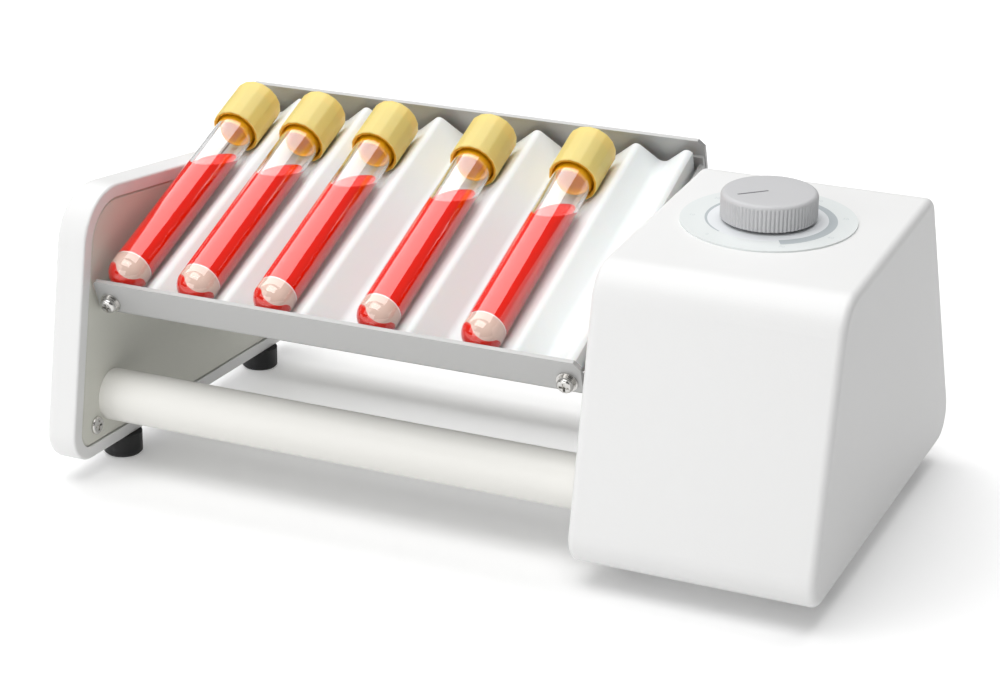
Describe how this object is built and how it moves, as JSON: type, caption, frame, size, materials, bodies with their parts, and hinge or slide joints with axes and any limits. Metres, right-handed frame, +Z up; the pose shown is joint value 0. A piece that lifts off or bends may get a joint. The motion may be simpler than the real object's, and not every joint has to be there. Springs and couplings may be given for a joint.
{
  "type": "tube rocker",
  "caption": "Bench tube rocker: a ridged tray tilts between a slim end plate and a drive housing with a speed knob, loaded with capped tubes.",
  "frame": {"origin": "middle of the footprint, on the surface that the feet stand on", "axes": "+X along the tray towards the drive housing, +Y to the rear, +Z up"},
  "size_m": [0.255, 0.1573, 0.1132],
  "materials": {
    "white_housing": "fine moulded texture, off-white",
    "white_cover": "fine moulded texture, pale grey",
    "tray_metal": "brushed sheet, satin",
    "mat_rubber": "soft matte silicone",
    "tie_paint": "warm white powder coat",
    "foot_rubber": "matte black",
    "screw_steel": "plated, bright",
    "drive_steel": "machined",
    "bearing_brass": "sintered, oiled",
    "board_green": "solder mask",
    "black_plastic": "moulded",
    "dial_print": "satin film with printed ring and ticks",
    "knob_grey": "satin moulded, fluted side",
    "tube_glass": "clear",
    "cap_yellow": "semi-gloss",
    "sample_red": "liquid, glossy"
  },
  "bodies": {
    "base": {"housing_shell": "white_housing", "housing_base": "tray_metal", "left_plate_shell": "white_housing", "left_inner_cover": "white_cover", "front_tie_tube": "tie_paint", "rear_tie_tube": "tie_paint", "tie_rods": "screw_steel", "tie_nuts": "screw_steel", "rubber_feet": "foot_rubber", "foot_screws": "screw_steel", "cover_screws": "screw_steel", "base_screws": "screw_steel", "left_bearing": "bearing_brass", "right_bearing": "bearing_brass", "motor_bracket": "tray_metal", "gearbox": "drive_steel", "drive_motor": "drive_steel", "motor_screws": "screw_steel", "control_board": "board_green", "board_standoffs": "bearing_brass", "board_parts": "black_plastic", "speed_potentiometer": "black_plastic", "potentiometer_nut": "screw_steel", "dial_plate": "dial_print", "power_inlet": "black_plastic", "power_inlet_nut": "black_plastic"},
    "tray": {"tray_pan": "tray_metal", "ridged_mat": "mat_rubber", "left_tray_bracket": "tray_metal", "right_tray_bracket": "tray_metal", "left_shaft": "drive_steel", "right_shaft": "drive_steel", "tray_screws": "screw_steel", "flat_washers": "screw_steel", "lock_washers": "screw_steel", "rocker_arm": "drive_steel", "arm_set_screw": "screw_steel", "arm_pin": "drive_steel"},
    "link": {"link_rod": "drive_steel", "crank_pin": "drive_steel"},
    "crank": {"crank_disc": "drive_steel", "crank_set_screw": "screw_steel", "output_shaft": "drive_steel"},
    "knob": {"speed_knob": "knob_grey", "potentiometer_shaft": "drive_steel"},
    "tube_1": {"glass_tube_1": "tube_glass", "tube_cap_1": "cap_yellow", "tube_sample_1": "sample_red"},
    "tube_2": {"glass_tube_2": "tube_glass", "tube_cap_2": "cap_yellow", "tube_sample_2": "sample_red"},
    "tube_3": {"glass_tube_3": "tube_glass", "tube_cap_3": "cap_yellow", "tube_sample_3": "sample_red"},
    "tube_4": {"glass_tube_4": "tube_glass", "tube_cap_4": "cap_yellow", "tube_sample_4": "sample_red"},
    "tube_5": {"glass_tube_5": "tube_glass", "tube_cap_5": "cap_yellow", "tube_sample_5": "sample_red"}
  },
  "joints": [
    {"name": "tray_rock", "type": "hinge", "parent": "base", "child": "tray", "pos_m": [0, -0.0018, 0.0585], "axis": [1, 0, 0], "range_deg": [-44.4, 0]},
    {"name": "link_swing", "type": "hinge", "parent": "tray", "child": "link", "pos_m": [0.071, -0.02217, 0.05019], "axis": [1, 0, 0], "range_deg": [0, 44.4]},
    {"name": "crank_turn", "type": "hinge", "parent": "base", "child": "crank", "pos_m": [0.079, -0.02217, 0.0285], "axis": [1, 0, 0], "range_deg": [0, 180]},
    {"name": "knob_turn", "type": "hinge", "parent": "base", "child": "knob", "pos_m": [0.0869, -0.01107, 0.1058], "axis": [0, 0.0732, -0.9973], "range_deg": [-15, 284]},
    {"name": "tube_lift_1", "type": "slide", "parent": "tray", "child": "tube_1", "axis": [0, -0.3778, 0.9259], "range_m": [0, 0.06]},
    {"name": "tube_lift_2", "type": "slide", "parent": "tray", "child": "tube_2", "axis": [0, -0.3778, 0.9259], "range_m": [0, 0.06]},
    {"name": "tube_lift_3", "type": "slide", "parent": "tray", "child": "tube_3", "axis": [0, -0.3778, 0.9259], "range_m": [0, 0.06]},
    {"name": "tube_lift_4", "type": "slide", "parent": "tray", "child": "tube_4", "axis": [0, -0.3778, 0.9259], "range_m": [0, 0.06]},
    {"name": "tube_lift_5", "type": "slide", "parent": "tray", "child": "tube_5", "axis": [0, -0.3778, 0.9259], "range_m": [0, 0.06]}
  ],
  "couplings": [
    {"joint": "link_swing", "follows": "tray_rock", "ratio": -1},
    {"joint": "crank_turn", "follows": "tray_rock", "ratio": -4.0541}
  ]
}
